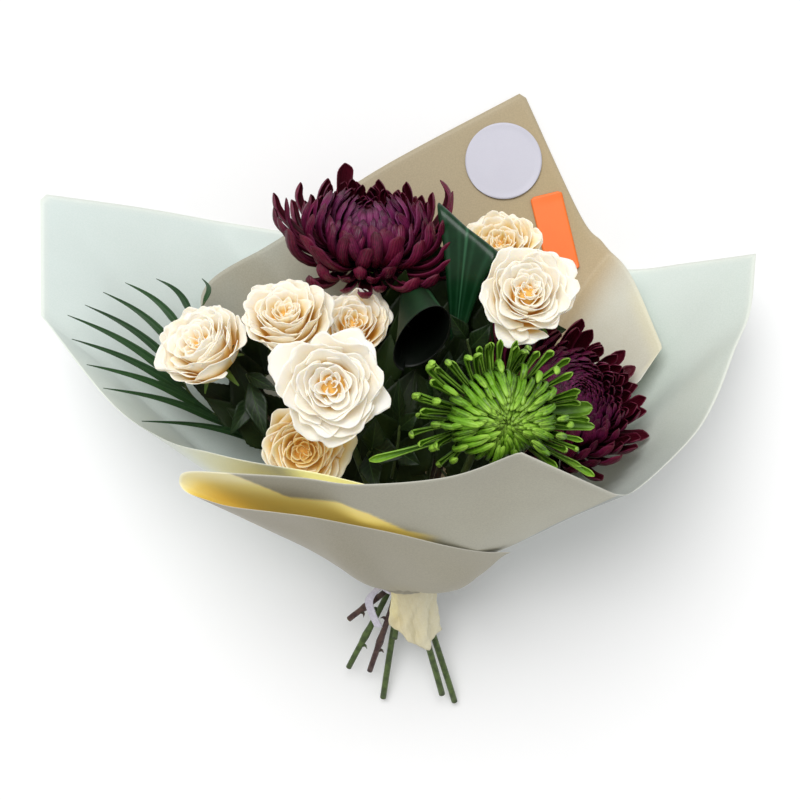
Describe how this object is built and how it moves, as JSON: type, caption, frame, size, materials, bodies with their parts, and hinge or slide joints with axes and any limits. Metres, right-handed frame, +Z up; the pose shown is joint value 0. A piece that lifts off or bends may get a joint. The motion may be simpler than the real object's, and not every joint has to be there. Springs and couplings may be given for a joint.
{
  "type": "mixed flower bouquet",
  "caption": "Hand-tied mixed bouquet of chrysanthemums, roses and foliage in a matte film wrapper, lying on its back.",
  "frame": {"origin": "a point on the flat underside of the outer sheet, below the middle of the bunch, on the surface it lies on", "axes": "+Z up from the surface, +Y from the cut stems towards the heads, +X to the right as seen from above, towards the right wing of the wrapper"},
  "size_m": [0.5228, 0.47, 0.254],
  "materials": {
    "outer_film": "matte translucent florist film, pale mint white",
    "inner_film": "matte florist film, warm beige",
    "front_film": "matte florist film, cream",
    "ribbon": "satin ribbon, off white",
    "tie": "flat elastic band, straw",
    "sticker": "semi-gloss coated paper, bare",
    "label": "semi-gloss coated paper, orange, bare",
    "burgundy_petals": "satin petals, mauve outside and dark red inside",
    "green_petals": "satin petals, lime green",
    "cream_petals": "soft matte petals, cream with a yellow heart",
    "rose_stem": "satin stem, green to red brown",
    "chrysanthemum_stem": "matte green stem",
    "waxy_leaf": "waxy leaf, dark green, glossy",
    "palm_leaf": "satin leaflets, dark green",
    "rose_leaf": "matte leaf, dark green"
  },
  "bodies": {
    "root": {"outer_sheet": "outer_film", "inner_back_sheet": "inner_film", "front_sheet": "front_film", "stem_collar": "front_film", "binding_ribbon": "ribbon", "stem_tie": "tie", "round_sticker": "sticker", "price_label": "label", "chrysanthemum_top": "burgundy_petals", "chrysanthemum_top_stem": "chrysanthemum_stem", "chrysanthemum_right": "burgundy_petals", "chrysanthemum_right_stem": "chrysanthemum_stem", "chrysanthemum_green": "green_petals", "chrysanthemum_green_stem": "chrysanthemum_stem", "rose_left": "cream_petals", "rose_left_stem": "rose_stem", "rose_upper_left": "cream_petals", "rose_upper_left_stem": "rose_stem", "rose_behind": "cream_petals", "rose_behind_stem": "rose_stem", "rose_front": "cream_petals", "rose_front_stem": "rose_stem", "rose_low": "cream_petals", "rose_low_stem": "rose_stem", "rose_right": "cream_petals", "rose_right_stem": "rose_stem", "rose_far_right": "cream_petals", "rose_far_right_stem": "rose_stem", "palm_frond": "palm_leaf", "aspidistra_curled": "waxy_leaf", "aspidistra_folded": "waxy_leaf", "rose_leaves_left": "rose_leaf", "rose_leaves_low": "rose_leaf", "rose_leaves_middle": "rose_leaf", "rose_leaves_centre": "rose_leaf", "rose_leaves_right": "rose_leaf", "rose_leaves_upper": "rose_leaf"}
  },
  "joints": []
}
